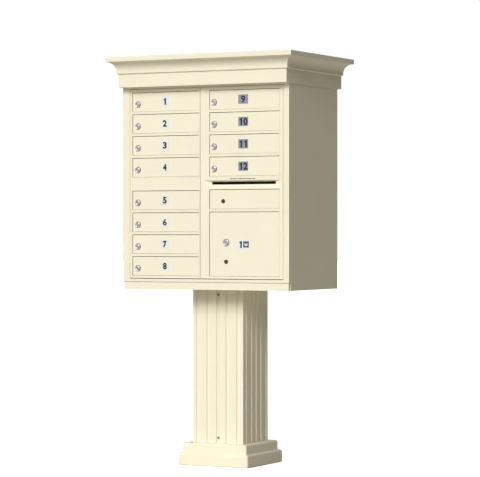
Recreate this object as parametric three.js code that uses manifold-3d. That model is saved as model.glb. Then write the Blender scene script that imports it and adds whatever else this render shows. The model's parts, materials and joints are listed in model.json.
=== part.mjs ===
// Pedestal cluster mailbox: a twelve-compartment cabinet with an outgoing mail compartment and a
// parcel locker, under a moulded crown, on a steel pedestal dressed with a fluted pillar and plinth.
// Millimetres, +Z up, front towards -Y, origin on the ground under the middle of the cabinet.
import * as THREE from 'three';
import { mergeVertices } from 'three/addons/utils/BufferGeometryUtils.js';
import { ConvexGeometry } from 'three/addons/geometries/ConvexGeometry.js';
import Module from 'manifold-3d';

const wasm = await Module();
wasm.setup();

// ---- Driving dimensions ----------------------------------------------------------------------
const GAP = 0.3;                                  // clearance between touching pieces
const SHEET = 3;                                  // cabinet sheet thickness

const CABINET = { halfWidth: 387.4, halfDepth: 228.6, bottom: 764.3, top: 1574.2 };
const PAN = { frontInset: 3.5, bottom: 732.5, top: 764 };

const FRAME = {
  depth: 16, faceWidth: 20, bevelDepth: 6, openingHalfWidth: 358, openingBottom: 776.4, openingTop: 1566,
};

const MASTER = {
  recess: FRAME.bevelDepth, thickness: 12, bottom: 779.3, top: 1564.8,
  hingeX: 355.2, hingeRadius: 2.4, meetingX: -22, meetingGap: 1.6,
};

const ROW = { firstTop: 1552, pitch: 91, openingHeight: 80.3, rowsPerBlock: 4, rowCount: 8 };

const DOOR = { recess: 2, thickness: 3, barrelRadius: 3.8, edgeGap: 2, topGap: 2.3, bottomGap: 1 };

const COLUMNS = {
  left: { openingLeft: -346, openingRight: -25.4, lockX: -320, firstNumber: 1 },
  right: { openingLeft: 19, openingRight: 344.2, lockX: 40.5, firstNumber: 9 },
};
const HINGE_EDGE_GAP = 0.4;                       // from a door barrel to the edge of its opening
const LOCK_DROP = 50;                            // from the top of an opening to its lock

const OUTGOING = { openingBottom: 1064, openingTop: 1145, lockX: 82.5, lockZ: 1096.3 };
const PARCEL = { openingBottom: 788.9, openingTop: 1053.5, lockX: 96, lockZ: 927, arrowZ: 848.5 };

const MAIL_SLOT = { left: 28, right: 320, bottom: 1164.8, top: 1176 };
const SLOT_RECESS = { left: -7, right: 351, bottom: 1147.5, top: 1182, depth: 9 };

const TENANT_LOCK = { flangeRadius: 12, bodyRadius: 9.5, bore: 6.5, plugRadius: 6.2, armLength: 34 };
const PARCEL_LOCK = { flangeRadius: 13.5, bodyRadius: 10.5, bore: 7.5, plugRadius: 7.2, armLength: 86 };
const LOCK = { flangeThickness: 4, chamfer: 1.2, armWidth: 10, armThickness: 2, boreClearance: 0.3 };
const KEYWAY = { width: 1.6, height: 7, depth: 2 };

const ARROW_LOCK = { bossRadius: 9, width: 46, height: 38, boltHeight: 14, boltThickness: 4, boltTail: 20 };
const ARROW_BOLT_START = 24;

const LATCH = {
  left: -18, right: 3, bottom: 1075, top: 1561.5, thickness: 3, tabRight: 29, tabBottom: 1120, tabTop: 1136,
};

const STACK = {
  inner: 17, outer: 352, front: -205, back: 222, wall: 1.5, ceiling: 1561.5, blankFloor: 1152.1,
};
const CHUTE = { left: 21, right: 346, sheet: 1.5 };

const CROWN = {
  fasciaX: 391.4, fasciaY: 259.6, bottom: 1572, fasciaTop: 1627.5, chamfer: 6, coveBottom: 1637,
  projection: 40, slabBottom: 1678, top: 1698, wall: 3, soffitBottom: 1574.5, soffitInset: 41.4,
};

const PILLAR = { halfX: 118.5, halfY: 112.5, wall: 9, bottom: 94.3, top: 732.2 };
const FLUTE = { halfWidth: 8.5, depth: 6.5, steps: 6, places: [-0.8, -0.38, 0, 0.38, 0.8] };

const PLINTH = {
  halfX: 164, halfY: 160, step: 14, blockTop: 54, top: 94, edgeRadius: 10, holeInset: 58, wall: 5,
};

const POST = { half: 50.8, wall: 4.8 };
const BASE_PLATE = { half: 127, thickness: 12.7, holeOffset: 100, holeRadius: 8 };
const TOP_PLATE = { half: 95, thickness: 9.5, holeOffset: 75, holeRadius: 6.5 };
const CABLE_HOLE_RADIUS = 38;
const BARREL_SIDES = 20;
const LOCK_SIDES = 16;

// Levels that follow from the driving dimensions.
const FRONT = -CABINET.halfDepth;
const MASTER_FRONT = FRONT + MASTER.recess;
const MASTER_BACK = MASTER_FRONT + MASTER.thickness;
const DOOR_FRONT = MASTER_FRONT + DOOR.recess;
const DOOR_AXIS_Y = DOOR_FRONT + DOOR.thickness / 2;
const DOOR_BACK = DOOR_FRONT + DOOR.thickness;
const LOCK_BACK = MASTER_BACK - 0.2;              // rear end of a lock body
const ARM_FRONT = MASTER_BACK + GAP;              // cams and bolts turn just behind the master door

// ---- Materials -------------------------------------------------------------------------------
const paint = () => new THREE.MeshStandardMaterial({ color: 0xf3ead0, roughness: 0.45, metalness: 0.1 });
const shelfMetal = () => new THREE.MeshStandardMaterial({ color: 0xb9bab6, roughness: 0.5, metalness: 0.8 });
const bareSteel = () => new THREE.MeshStandardMaterial({ color: 0x9a9a96, roughness: 0.4, metalness: 0.9 });
const chrome = () => new THREE.MeshStandardMaterial({ color: 0xc9c9cc, roughness: 0.2, metalness: 1 });
const brass = () => new THREE.MeshStandardMaterial({ color: 0x8a6a3c, roughness: 0.35, metalness: 1 });

// ---- Solids ----------------------------------------------------------------------------------
// A mesh with only positions, shared vertices and no collapsed triangles.
function weld(geometry) {
  const bare = geometry.clone();
  bare.deleteAttribute('normal');
  bare.deleteAttribute('uv');
  const welded = mergeVertices(bare, 1e-4);
  const source = welded.index.array;
  const kept = [];
  for (let i = 0; i < source.length; i += 3) {
    const [a, b, c] = [source[i], source[i + 1], source[i + 2]];
    if (a !== b && b !== c && c !== a) {
      kept.push(a, b, c);
    }
  }
  welded.setIndex(kept);
  return welded;
}

function solidOf(geometry) {
  const welded = weld(geometry);
  return new wasm.Manifold(new wasm.Mesh({
    numProp: 3,
    vertProperties: new Float32Array(welded.attributes.position.array),
    triVerts: new Uint32Array(welded.index.array),
  }));
}

function geometryOf(solid) {
  const { vertProperties, triVerts } = solid.getMesh();
  const geometry = new THREE.BufferGeometry();
  geometry.setAttribute('position', new THREE.BufferAttribute(new Float32Array(vertProperties), 3));
  geometry.setIndex(new THREE.BufferAttribute(new Uint32Array(triVerts), 1));
  geometry.computeVertexNormals();
  return geometry;
}

// Joins the first list of shapes and takes the second list away.
function carve(joined, removed = []) {
  let solid = solidOf(joined[0]);
  for (const geometry of joined.slice(1)) {
    solid = solid.add(solidOf(geometry));
  }
  for (const geometry of removed) {
    solid = solid.subtract(solidOf(geometry));
  }
  return geometryOf(solid);
}

function boxBetween([x0, y0, z0], [x1, y1, z1]) {
  const geometry = new THREE.BoxGeometry(x1 - x0, y1 - y0, z1 - z0);
  return geometry.translate((x0 + x1) / 2, (y0 + y1) / 2, (z0 + z1) / 2);
}

function rectangle(left, bottom, right, top, Kind = THREE.Shape) {
  const outline = new Kind();
  outline.moveTo(left, bottom);
  outline.lineTo(right, bottom);
  outline.lineTo(right, top);
  outline.lineTo(left, top);
  outline.closePath();
  return outline;
}

function roundHole(x, y, radius) {
  const hole = new THREE.Path();
  hole.absarc(x, y, radius, 0, 2 * Math.PI);
  return hole;
}

const extrude = (shape, depth, curveSegments = 8) => new THREE.ExtrudeGeometry(
  shape, { depth, bevelEnabled: false, curveSegments });

// A front outline in x and z, given thickness from yFront back to yBack.
function plateFacingFront(shape, yFront, yBack) {
  return extrude(shape, yBack - yFront).rotateX(Math.PI / 2).translate(0, yBack, 0);
}

// A section in y and z, run along X.
function barAlongX(shape, left, right) {
  const turn = new THREE.Matrix4().makeBasis(
    new THREE.Vector3(0, 1, 0), new THREE.Vector3(0, 0, 1), new THREE.Vector3(1, 0, 0));
  return extrude(shape, right - left).applyMatrix4(turn).translate(left, 0, 0);
}

function cylinderAlongZ(radius, x, y, bottom, top, sides) {
  const geometry = new THREE.CylinderGeometry(radius, radius, top - bottom, sides);
  return geometry.rotateX(Math.PI / 2).translate(x, y, (top + bottom) / 2);
}

function cylinderAlongY(radius, yFront, yBack, sides) {
  const geometry = new THREE.CylinderGeometry(radius, radius, yBack - yFront, sides);
  return geometry.translate(0, (yFront + yBack) / 2, 0);
}

// A moulding with mitred corners: a section of [half size, height] pairs turned in four steps about
// the vertical axis, then drawn apart along X by stretchX to make its square plan a rectangle.
function mitredMoulding(section, stretchX = 0) {
  const points = section.map(([half, height]) => new THREE.Vector2(half * Math.SQRT2, height));
  const geometry = new THREE.LatheGeometry(points, 4, Math.PI / 4);
  geometry.rotateX(Math.PI / 2);
  const position = geometry.attributes.position;
  for (let i = 0; i < position.count; i += 1) {
    const x = position.getX(i);
    if (Math.abs(x) > 1e-3) {
      position.setX(i, x + Math.sign(x) * stretchX);
    }
  }
  return weld(geometry);
}

// ---- Assembly helpers ------------------------------------------------------------------------
const unit = new THREE.Group();

function add(name, geometry, material, parent = unit) {
  const mesh = new THREE.Mesh(geometry, material);
  mesh.name = name;
  parent.add(mesh);
  return mesh;
}

function groupAt(x, y, z, parent = unit) {
  const group = new THREE.Group();
  group.position.set(x, y, z);
  parent.add(group);
  return group;
}

// The top of row 0 to 7. A blank band half a pitch high parts the two blocks of four.
const rowTop = (row) => ROW.firstTop - ROW.pitch * (row + (row >= ROW.rowsPerBlock ? 0.5 : 0));
const rowBottom = (row) => rowTop(row) - ROW.openingHeight;

// ---- Cabinet shell ---------------------------------------------------------------------------
function addCabinetShell() {
  const { halfWidth, halfDepth, top } = CABINET;
  const behindFrame = FRONT + FRAME.depth + GAP;
  const panelInner = halfWidth - SHEET;
  add('left_side_panel', boxBetween(
    [-halfWidth, behindFrame, PAN.bottom], [-panelInner, halfDepth, top]), paint());
  add('right_side_panel', boxBetween(
    [panelInner, behindFrame, PAN.bottom], [halfWidth, halfDepth, top]), paint());
  const inner = panelInner - GAP;
  add('back_panel', boxBetween([-inner, halfDepth - SHEET, PAN.bottom], [inner, halfDepth, top]), paint());
  add('cabinet_roof', boxBetween(
    [-inner, behindFrame, top - SHEET], [inner, halfDepth - SHEET - GAP, top]), paint());

  const panY = halfDepth - PAN.frontInset;
  const section = [
    [0, PAN.bottom], [panY, PAN.bottom], [panY, PAN.top], [panY - SHEET, PAN.top],
    [panY - SHEET, PAN.bottom + SHEET], [0, PAN.bottom + SHEET],
  ];
  add('base_pan', mitredMoulding(section, inner - panY), paint());
}

// Two stiles with a bevelled inner edge, joined by a top and a bottom rail.
function addFrontFrame() {
  const { halfWidth, bottom, top } = CABINET;
  const back = FRONT + FRAME.depth;
  const stile = (side) => {
    const shape = new THREE.Shape();
    shape.moveTo(side * halfWidth, FRONT);
    shape.lineTo(side * (halfWidth - FRAME.faceWidth), FRONT);
    shape.lineTo(side * FRAME.openingHalfWidth, FRONT + FRAME.bevelDepth);
    shape.lineTo(side * FRAME.openingHalfWidth, back);
    shape.lineTo(side * halfWidth, back);
    shape.closePath();
    return extrude(shape, top - bottom).translate(0, 0, bottom);
  };
  const railEnd = halfWidth - FRAME.faceWidth;
  const topRail = boxBetween([-railEnd, FRONT, FRAME.openingTop], [railEnd, back, top]);
  const bottomRail = boxBetween([-railEnd, FRONT, bottom], [railEnd, back, FRAME.openingBottom]);
  add('front_frame', carve([stile(-1), stile(1), topRail, bottomRail]), paint());
}

// ---- Compartments ----------------------------------------------------------------------------
// A stack is side walls and shelves in one welded piece, open at the front and back.
function shelfStack(side, cells) {
  const [left, right] = side < 0 ? [-STACK.outer, -STACK.inner] : [STACK.inner, STACK.outer];
  const bottom = Math.min(...cells.map(([low]) => low)) - STACK.wall;
  const outline = rectangle(left, bottom, right, STACK.ceiling);
  for (const [low, high] of cells) {
    outline.holes.push(rectangle(left + STACK.wall, low, right - STACK.wall, high, THREE.Path));
  }
  return plateFacingFront(outline, STACK.front, STACK.back);
}

const SHELF_DROP = 0.5;                           // shelf top below the edge of the door opening
const shelfTop = (row) => rowBottom(row) - SHELF_DROP;
const cellBelow = (row) => [shelfTop(row), shelfTop(row - 1) - STACK.wall];

function addCompartments() {
  const upperCells = [[shelfTop(0), STACK.ceiling - STACK.wall], cellBelow(1), cellBelow(2), cellBelow(3)];
  const blankTop = shelfTop(ROW.rowsPerBlock - 1) - STACK.wall;
  const lowerCells = [
    [shelfTop(4), STACK.blankFloor - STACK.wall], cellBelow(5), cellBelow(6), cellBelow(7)];
  const leftCells = [...upperCells, [STACK.blankFloor, blankTop], ...lowerCells];
  add('left_shelf_stack', shelfStack(-1, leftCells), shelfMetal());

  const outgoingFloor = OUTGOING.openingBottom - SHELF_DROP;
  const rightCells = [
    ...upperCells,
    [outgoingFloor, blankTop],
    [PARCEL.openingBottom - SHELF_DROP, outgoingFloor - STACK.wall],
  ];
  add('right_shelf_stack', shelfStack(1, rightCells), shelfMetal());

  // A bent sheet behind the slot turns letters down and keeps hands out.
  const hang = blankTop - GAP;
  const [near, bend, far] = [STACK.front + 1, -150, -100];
  const drop = 52;
  const shape = new THREE.Shape();
  shape.moveTo(near, hang);
  shape.lineTo(near, hang - CHUTE.sheet);
  shape.lineTo(bend, hang - CHUTE.sheet);
  shape.lineTo(far, hang - drop);
  shape.lineTo(far + CHUTE.sheet, hang - drop + 1);
  shape.lineTo(bend + 1, hang);
  shape.closePath();
  add('mail_chute', barAlongX(shape, CHUTE.left, CHUTE.right), shelfMetal());
}

// ---- Master doors ----------------------------------------------------------------------------
function masterLeaf(left, right, hingeX, openings) {
  const outline = rectangle(left, MASTER.bottom, right, MASTER.top);
  for (const [x0, z0, x1, z1] of openings) {
    outline.holes.push(rectangle(x0, z0, x1, z1, THREE.Path));
  }
  const leaf = plateFacingFront(outline, MASTER_FRONT, MASTER_BACK);
  const { hingeRadius, bottom, top } = MASTER;
  const barrel = cylinderAlongZ(hingeRadius, hingeX, MASTER_FRONT, bottom, top, BARREL_SIDES);
  return [leaf, barrel];
}

// A dished recess whose walls slope in to the letter slot at its back.
function slotRecess() {
  const proud = 1;
  const slopeOut = (edge, inner) => edge + (edge - inner) * proud / SLOT_RECESS.depth;
  const mouth = {
    left: slopeOut(SLOT_RECESS.left, MAIL_SLOT.left), right: slopeOut(SLOT_RECESS.right, MAIL_SLOT.right),
    bottom: slopeOut(SLOT_RECESS.bottom, MAIL_SLOT.bottom), top: slopeOut(SLOT_RECESS.top, MAIL_SLOT.top),
  };
  const corners = [];
  for (const [edges, y] of [[mouth, MASTER_FRONT - proud], [MAIL_SLOT, MASTER_FRONT + SLOT_RECESS.depth]]) {
    for (const x of [edges.left, edges.right]) {
      corners.push(new THREE.Vector3(x, y, edges.bottom), new THREE.Vector3(x, y, edges.top));
    }
  }
  return new ConvexGeometry(corners);
}

function addMasterDoors() {
  const rows = Array.from({ length: ROW.rowCount }, (_, row) => row);
  const rowOpening = ({ openingLeft, openingRight }) => (row) => (
    [openingLeft, rowBottom(row), openingRight, rowTop(row)]);

  const leftEdge = MASTER.meetingX - MASTER.meetingGap / 2;
  add('left_master_door', carve(
    masterLeaf(-MASTER.hingeX, leftEdge, -MASTER.hingeX, rows.map(rowOpening(COLUMNS.left)))), paint());

  const { openingLeft, openingRight } = COLUMNS.right;
  const openings = [
    ...rows.slice(0, ROW.rowsPerBlock).map(rowOpening(COLUMNS.right)),
    [openingLeft, OUTGOING.openingBottom, openingRight, OUTGOING.openingTop],
    [openingLeft, PARCEL.openingBottom, openingRight, PARCEL.openingTop],
  ];
  const rightEdge = MASTER.meetingX + MASTER.meetingGap / 2;
  const slot = boxBetween(
    [MAIL_SLOT.left, MASTER_FRONT, MAIL_SLOT.bottom], [MAIL_SLOT.right, MASTER_BACK + 1, MAIL_SLOT.top]);
  add('right_master_door', carve(
    masterLeaf(rightEdge, MASTER.hingeX, MASTER.hingeX, openings), [slotRecess(), slot]), paint());

  // A flat bar behind the meeting stile slides up behind the top rail, moved by its thumb tab.
  const barFront = MASTER_BACK + 0.4;
  const barBack = barFront + LATCH.thickness;
  const bar = boxBetween([LATCH.left, barFront, LATCH.bottom], [LATCH.right, barBack, LATCH.top]);
  const tab = boxBetween(
    [LATCH.right - 1, barFront, LATCH.tabBottom], [LATCH.tabRight, barBack, LATCH.tabTop]);
  add('master_latch_bar', carve([bar, tab]), bareSteel());
}

// ---- Compartment doors and locks -------------------------------------------------------------
// A door hangs from a barrel along its right edge. Its own origin is on the barrel's axis, level
// with the top of its opening, and its lock holes are given from there.
function doorLeaf(width, openingHeight, holes) {
  const top = -DOOR.topGap;
  const bottom = -openingHeight + DOOR.bottomGap;
  const outline = rectangle(-width, bottom, 0, top);
  for (const { x, z, radius } of holes) {
    outline.holes.push(roundHole(x, z, radius));
  }
  const half = DOOR.thickness / 2;
  const barrel = cylinderAlongZ(DOOR.barrelRadius, 0, 0, bottom, top, BARREL_SIDES);
  return carve([plateFacingFront(outline, -half, half), barrel]);
}

// Lock shapes lie along Y with their origin on the door's mid-plane.
const LOCK_FRONT_Y = -DOOR.thickness / 2 - GAP - LOCK.flangeThickness;
const LOCK_BACK_Y = LOCK_BACK - DOOR_AXIS_Y;
const ARM_FRONT_Y = ARM_FRONT - DOOR_AXIS_Y;

function lockHousing({ flangeRadius, bodyRadius, bore }) {
  const flangeBack = LOCK_FRONT_Y + LOCK.flangeThickness;
  const section = [
    [bore, LOCK_FRONT_Y], [flangeRadius - LOCK.chamfer, LOCK_FRONT_Y],
    [flangeRadius, LOCK_FRONT_Y + LOCK.chamfer], [flangeRadius, flangeBack],
    [bodyRadius, flangeBack], [bodyRadius, LOCK_BACK_Y], [bore, LOCK_BACK_Y], [bore, LOCK_FRONT_Y],
  ];
  const points = section.map(([radius, y]) => new THREE.Vector2(radius, y));
  return weld(new THREE.LatheGeometry(points, LOCK_SIDES));
}

// The plug and its cam turn as one piece. The arm points up when unlocked.
function lockCam({ plugRadius, armLength }) {
  const face = LOCK_FRONT_Y + 0.5;
  const armBack = ARM_FRONT_Y + LOCK.armThickness;
  const plug = cylinderAlongY(plugRadius, face, armBack, LOCK_SIDES);
  const arm = boxBetween([-LOCK.armWidth / 2, ARM_FRONT_Y, 0], [LOCK.armWidth / 2, armBack, armLength]);
  const keyway = boxBetween(
    [-KEYWAY.width / 2, face - 1, -KEYWAY.height / 2],
    [KEYWAY.width / 2, face + KEYWAY.depth, KEYWAY.height / 2]);
  return carve([plug, arm], [keyway]);
}

// A brass lock body behind the door, with a round boss showing in a hole in the door.
function arrowLock() {
  const bodyFront = DOOR.thickness / 2 + GAP;
  const bossFront = -DOOR.thickness / 2 - 0.8;
  const { width, height, bossRadius } = ARROW_LOCK;
  const body = boxBetween([-width / 2, bodyFront, -height / 2], [width / 2, LOCK_BACK_Y, height / 2]);
  const boss = cylinderAlongY(bossRadius, bossFront, bodyFront + 1, LOCK_SIDES);
  const keyway = boxBetween(
    [-KEYWAY.width, bossFront - 1, -KEYWAY.height / 2],
    [KEYWAY.width, bossFront + KEYWAY.depth, KEYWAY.height / 2]);
  return carve([body, boss], [keyway]);
}

function addTenantDoor(number, column, row) {
  const hingeX = column.openingRight - HINGE_EDGE_GAP - DOOR.barrelRadius;
  const width = hingeX - column.openingLeft - DOOR.edgeGap;
  const lockX = column.lockX - hingeX;
  const group = groupAt(hingeX, DOOR_AXIS_Y, rowTop(row));
  const hole = { x: lockX, z: -LOCK_DROP, radius: TENANT_LOCK.bodyRadius + LOCK.boreClearance };
  add(`tenant_door_${number}`, doorLeaf(width, ROW.openingHeight, [hole]), paint(), group);
  const lock = groupAt(lockX, 0, -LOCK_DROP, group);
  add(`tenant_lock_housing_${number}`, lockHousing(TENANT_LOCK), chrome(), lock);
  add(`tenant_lock_cam_${number}`, lockCam(TENANT_LOCK), chrome(), lock);
}

function addTenantDoors() {
  for (let row = 0; row < ROW.rowCount; row += 1) {
    addTenantDoor(COLUMNS.left.firstNumber + row, COLUMNS.left, row);
  }
  for (let row = 0; row < ROW.rowsPerBlock; row += 1) {
    addTenantDoor(COLUMNS.right.firstNumber + row, COLUMNS.right, row);
  }
}

function addArrowLock(name, group, hingeX, lockX, lockZ, openingTop) {
  const place = groupAt(lockX - hingeX, 0, lockZ - openingTop, group);
  add(`${name}_arrow_lock`, arrowLock(), brass(), place);
  const start = ARROW_BOLT_START - lockX;
  const { boltTail, boltHeight, boltThickness } = ARROW_LOCK;
  const bolt = boxBetween(
    [start, ARM_FRONT_Y, -boltHeight / 2], [boltTail, ARM_FRONT_Y + boltThickness, boltHeight / 2]);
  add(`${name}_arrow_bolt`, bolt, brass(), place);
}

function addServiceDoors() {
  const { openingLeft, openingRight } = COLUMNS.right;
  const hingeX = openingRight - HINGE_EDGE_GAP - DOOR.barrelRadius;
  const width = hingeX - openingLeft - DOOR.edgeGap;
  const arrowHole = ARROW_LOCK.bossRadius + LOCK.boreClearance;

  const outgoing = groupAt(hingeX, DOOR_AXIS_Y, OUTGOING.openingTop);
  add('outgoing_mail_door', doorLeaf(width, OUTGOING.openingTop - OUTGOING.openingBottom, [
    { x: OUTGOING.lockX - hingeX, z: OUTGOING.lockZ - OUTGOING.openingTop, radius: arrowHole },
  ]), paint(), outgoing);
  addArrowLock('outgoing', outgoing, hingeX, OUTGOING.lockX, OUTGOING.lockZ, OUTGOING.openingTop);

  const parcel = groupAt(hingeX, DOOR_AXIS_Y, PARCEL.openingTop);
  const lockX = PARCEL.lockX - hingeX;
  add('parcel_door', doorLeaf(width, PARCEL.openingTop - PARCEL.openingBottom, [
    { x: lockX, z: PARCEL.lockZ - PARCEL.openingTop, radius: PARCEL_LOCK.bodyRadius + LOCK.boreClearance },
    { x: lockX, z: PARCEL.arrowZ - PARCEL.openingTop, radius: arrowHole },
  ]), paint(), parcel);
  addArrowLock('parcel', parcel, hingeX, PARCEL.lockX, PARCEL.arrowZ, PARCEL.openingTop);
  const lock = groupAt(lockX, 0, PARCEL.lockZ - PARCEL.openingTop, parcel);
  add('parcel_lock_housing', lockHousing(PARCEL_LOCK), chrome(), lock);
  add('parcel_lock_cam', lockCam(PARCEL_LOCK), chrome(), lock);
}

// ---- Crown -----------------------------------------------------------------------------------
function addCrown() {
  const { fasciaY, chamfer, projection, coveBottom, slabBottom, wall } = CROWN;
  const cove = [];
  const steps = 8;
  for (let i = steps; i >= 0; i -= 1) {
    const angle = (i / steps) * Math.PI / 2;
    cove.push([
      fasciaY + projection - (projection - chamfer) * Math.cos(angle),
      coveBottom + (slabBottom - coveBottom) * Math.sin(angle),
    ]);
  }
  const soffitTop = CROWN.soffitBottom + wall;
  const section = [
    [0, CROWN.top], [fasciaY + projection, CROWN.top], ...cove,
    [fasciaY + chamfer, CROWN.fasciaTop + chamfer], [fasciaY, CROWN.fasciaTop], [fasciaY, CROWN.bottom],
    [fasciaY - wall, CROWN.bottom], [fasciaY - wall, CROWN.soffitBottom],
    [fasciaY - CROWN.soffitInset, CROWN.soffitBottom], [fasciaY - CROWN.soffitInset, soffitTop],
    [fasciaY - wall, soffitTop], [fasciaY - wall, CROWN.fasciaTop + wall],
    [fasciaY + chamfer - 1.3 * wall, coveBottom + wall], [fasciaY + chamfer - wall / 3, slabBottom - 15],
    [fasciaY + chamfer + 2 * wall, slabBottom - 2], [fasciaY + projection - 2 * wall, CROWN.top - 4],
    [0, CROWN.top - 4],
  ];
  add('crown_cap', mitredMoulding(section.reverse(), CROWN.fasciaX - fasciaY), paint());
}

// ---- Pedestal --------------------------------------------------------------------------------
// One face of the pillar, from corner to corner: [along, depth] points with round-bottomed flutes.
function flutedFace(half) {
  const face = [[-half, 0]];
  for (const place of FLUTE.places) {
    for (let i = 0; i <= FLUTE.steps; i += 1) {
      const across = -1 + (2 * i) / FLUTE.steps;
      face.push([place * half + FLUTE.halfWidth * across, FLUTE.depth * Math.sqrt(1 - across * across)]);
    }
  }
  return face;
}

// The pillar's plan: the front, right, back and left faces in turn.
function pillarPlan() {
  const { halfX, halfY, wall } = PILLAR;
  const outline = [];
  for (let quarter = 0; quarter < 4; quarter += 1) {
    const angle = quarter * Math.PI / 2;
    const [c, s] = [Math.cos(angle), Math.sin(angle)];
    const [along, out] = quarter % 2 === 0 ? [halfX, halfY] : [halfY, halfX];
    for (const [x, depth] of flutedFace(along)) {
      outline.push(new THREE.Vector2(x * c + (out - depth) * s, x * s - (out - depth) * c));
    }
  }
  const shape = new THREE.Shape(outline);
  shape.holes.push(rectangle(wall - halfX, wall - halfY, halfX - wall, halfY - wall, THREE.Path));
  return shape;
}

// A quarter round from straight up a wall to flat on top, as [half size, height] pairs.
function topEdge(half, top, radius) {
  const steps = 4;
  return Array.from({ length: steps + 1 }, (_, i) => {
    const angle = (i / steps) * Math.PI / 2;
    return [half - radius * (1 - Math.cos(angle)), top - radius * (1 - Math.sin(angle))];
  });
}

function addPillarAndPlinth() {
  const pillar = extrude(pillarPlan(), PILLAR.top - PILLAR.bottom);
  add('pillar_cover', pillar.translate(0, 0, PILLAR.bottom), paint());

  const { halfX, halfY, step, blockTop, top, edgeRadius, holeInset, wall } = PLINTH;
  const stepHalf = halfY - step;
  const hole = halfY - holeInset;
  const section = [
    [halfY, 0], ...topEdge(halfY, blockTop, edgeRadius), [stepHalf, blockTop],
    ...topEdge(stepHalf, top, edgeRadius), [hole, top],
    [hole, top - wall], [stepHalf - edgeRadius, top - wall], [stepHalf - wall, top - edgeRadius],
    [stepHalf - wall, blockTop - wall], [halfY - edgeRadius, blockTop - wall],
    [halfY - wall, blockTop - edgeRadius], [halfY - wall, 0], [halfY, 0],
  ];
  add('plinth_cover', mitredMoulding(section, halfX - halfY), paint());
}

function squarePlate({ half, thickness, holeOffset, holeRadius }) {
  const shape = rectangle(-half, -half, half, half);
  shape.holes.push(roundHole(0, 0, CABLE_HOLE_RADIUS));
  for (const x of [-holeOffset, holeOffset]) {
    for (const y of [-holeOffset, holeOffset]) {
      shape.holes.push(roundHole(x, y, holeRadius));
    }
  }
  return extrude(shape, thickness);
}

// Post and plates are one weldment, open from end to end through the cable hole.
function addPedestal() {
  const top = PAN.bottom - GAP;
  const { half, wall } = POST;
  const section = rectangle(-half, -half, half, half);
  section.holes.push(rectangle(-half + wall, -half + wall, half - wall, half - wall, THREE.Path));
  const post = extrude(section, top - 2).translate(0, 0, 1);
  const base = squarePlate(BASE_PLATE);
  const head = squarePlate(TOP_PLATE);
  add('pedestal', carve([base, post, head.translate(0, 0, top - TOP_PLATE.thickness)]), bareSteel());
}

addCabinetShell();
addFrontFrame();
addCompartments();
addMasterDoors();
addTenantDoors();
addServiceDoors();
addCrown();
addPillarAndPlinth();
addPedestal();

export default unit;
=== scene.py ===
"""Cluster mailbox unit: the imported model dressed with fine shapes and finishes, in soft studio light.

Metres, +Z up, front towards -Y. Every mesh made here has its vertices in the frame's own coordinates,
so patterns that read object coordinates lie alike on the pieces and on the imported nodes.
"""
import json
import math

import bmesh
import bpy
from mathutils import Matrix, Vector


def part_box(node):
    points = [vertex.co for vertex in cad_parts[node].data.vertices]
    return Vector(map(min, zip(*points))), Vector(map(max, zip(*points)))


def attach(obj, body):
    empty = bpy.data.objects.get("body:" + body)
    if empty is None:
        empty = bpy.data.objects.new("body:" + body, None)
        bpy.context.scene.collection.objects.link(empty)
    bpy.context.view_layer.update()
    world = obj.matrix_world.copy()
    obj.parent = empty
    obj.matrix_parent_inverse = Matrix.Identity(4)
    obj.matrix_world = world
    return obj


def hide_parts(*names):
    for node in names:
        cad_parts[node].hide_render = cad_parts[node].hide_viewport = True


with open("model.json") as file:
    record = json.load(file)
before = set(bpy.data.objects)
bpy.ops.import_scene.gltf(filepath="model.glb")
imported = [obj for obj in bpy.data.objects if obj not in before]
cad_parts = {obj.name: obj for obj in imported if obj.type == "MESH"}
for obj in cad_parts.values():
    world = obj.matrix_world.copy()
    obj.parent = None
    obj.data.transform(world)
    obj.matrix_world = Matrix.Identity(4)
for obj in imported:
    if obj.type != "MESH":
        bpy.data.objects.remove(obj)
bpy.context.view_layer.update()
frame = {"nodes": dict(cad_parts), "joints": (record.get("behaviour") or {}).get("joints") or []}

MM = 0.001
TURN = 2 * math.pi
TENANTS = range(1, 13)
LEFT_TENANTS = range(1, 9)


# ---- Camera, lights and floor ----
VIEW_AZIMUTH = 27.99          # degrees round from straight in front, towards +X
VIEW_DISTANCE = 9.526
VIEW_SIDE = -0.0155
VIEW_HEIGHT = 0.9704
VIEW_LENS = 170.4             # millimetres, on a 36 mm sensor
AIM_RIGHT = 0.332             # degrees
AIM_DOWN = 0.163

KEY_AZIMUTH = -9              # degrees round from straight in front, towards -X
KEY_ELEVATION = 33
KEY_SPREAD = 26
KEY_STRENGTH = 2.0
SOFT_AZIMUTH = 16
SOFT_ELEVATION = 36
SOFT_SPREAD = 64
SOFT_STRENGTH = 1.30
BACK_AZIMUTH = 150
BACK_ELEVATION = 30
BACK_SPREAD = 70
BACK_FILL_STRENGTH = 0.05
FILL_STRENGTH = 0.035

FLOOR_HALF = 60               # metres
FLOOR_DROP = 0.0002           # keeps the paper just clear of the plinth's foot
FLOOR_BOUNCE = (0.70, 0.665, 0.60)
FLOOR_PAPER = (0.9, 0.9, 0.9)
FLOOR_GLOW = 0.92


def link(obj):
    bpy.context.scene.collection.objects.link(obj)
    return obj


def place_camera():
    azimuth = math.radians(VIEW_AZIMUTH)
    forward = Vector((-math.sin(azimuth), math.cos(azimuth), 0))
    right = Vector((math.cos(azimuth), math.sin(azimuth), 0))
    data = bpy.data.cameras.new("photo_camera")
    data.lens = VIEW_LENS
    data.clip_end = 500
    camera = link(bpy.data.objects.new("photo_camera", data))
    camera.location = -forward * VIEW_DISTANCE + right * VIEW_SIDE + Vector((0, 0, VIEW_HEIGHT))
    camera.rotation_euler = (math.radians(90 - AIM_DOWN), 0, azimuth - math.radians(AIM_RIGHT))
    bpy.context.scene.camera = camera


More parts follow.
